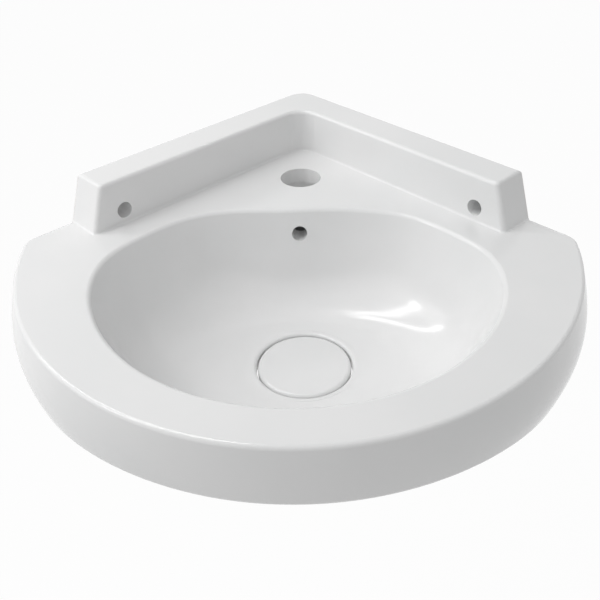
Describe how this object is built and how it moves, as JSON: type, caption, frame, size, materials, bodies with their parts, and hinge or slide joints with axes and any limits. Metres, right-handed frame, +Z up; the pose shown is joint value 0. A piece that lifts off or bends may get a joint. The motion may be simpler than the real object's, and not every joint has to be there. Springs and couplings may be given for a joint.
{
  "type": "corner wash basin",
  "caption": "Small ceramic corner wash basin with wall upstand, D-shaped bowl, tap hole, overflow and push-open waste with a round ceramic cap.",
  "frame": {"origin": "axis of the tap hole at the level of the flat deck, the basin's top apart from its upstand", "axes": "+Z up, +Y into the room corner, +X to the right of a person who stands at the basin; the two walls stand at 45 degrees to +Y"},
  "size_m": [0.4352, 0.4244, 0.2166],
  "materials": {
    "glaze": "gloss",
    "chromed_brass": "polished",
    "steel": "satin",
    "black_rubber": "matt",
    "clear_silicone": "satin",
    "white_plastic": "satin",
    "grey_plastic": "satin"
  },
  "bodies": {
    "basin": {"basin": "glaze", "waste_body": "chromed_brass", "flange_seal": "clear_silicone", "lower_seal": "black_rubber", "slip_washer": "white_plastic", "back_nut": "chromed_brass", "cartridge_sleeve": "grey_plastic", "guide_bush": "white_plastic", "stem_ring": "black_rubber", "cartridge_end_cap": "grey_plastic", "return_spring": "steel"},
    "plug": {"plug_cap": "glaze", "cap_ring": "clear_silicone", "plug_carrier": "white_plastic", "plug_seal": "black_rubber", "lock_nut": "steel", "plug_rod": "steel"},
    "rotor": {"index_rotor": "grey_plastic"}
  },
  "joints": [
    {"name": "plug_lift", "type": "slide", "parent": "basin", "child": "plug", "axis": [0, 0, 1], "range_m": [0, 0.009], "deforming": ["return_spring"]},
    {"name": "rotor_turn", "type": "hinge", "parent": "plug", "child": "rotor", "pos_m": [0.0045, -0.1512, -0.1244], "axis": [0, 0, 1], "range_deg": [0, 45]}
  ],
  "couplings": [
    {"joint": "rotor_turn", "follows": "plug_lift", "rad_per_m": 87.266}
  ]
}
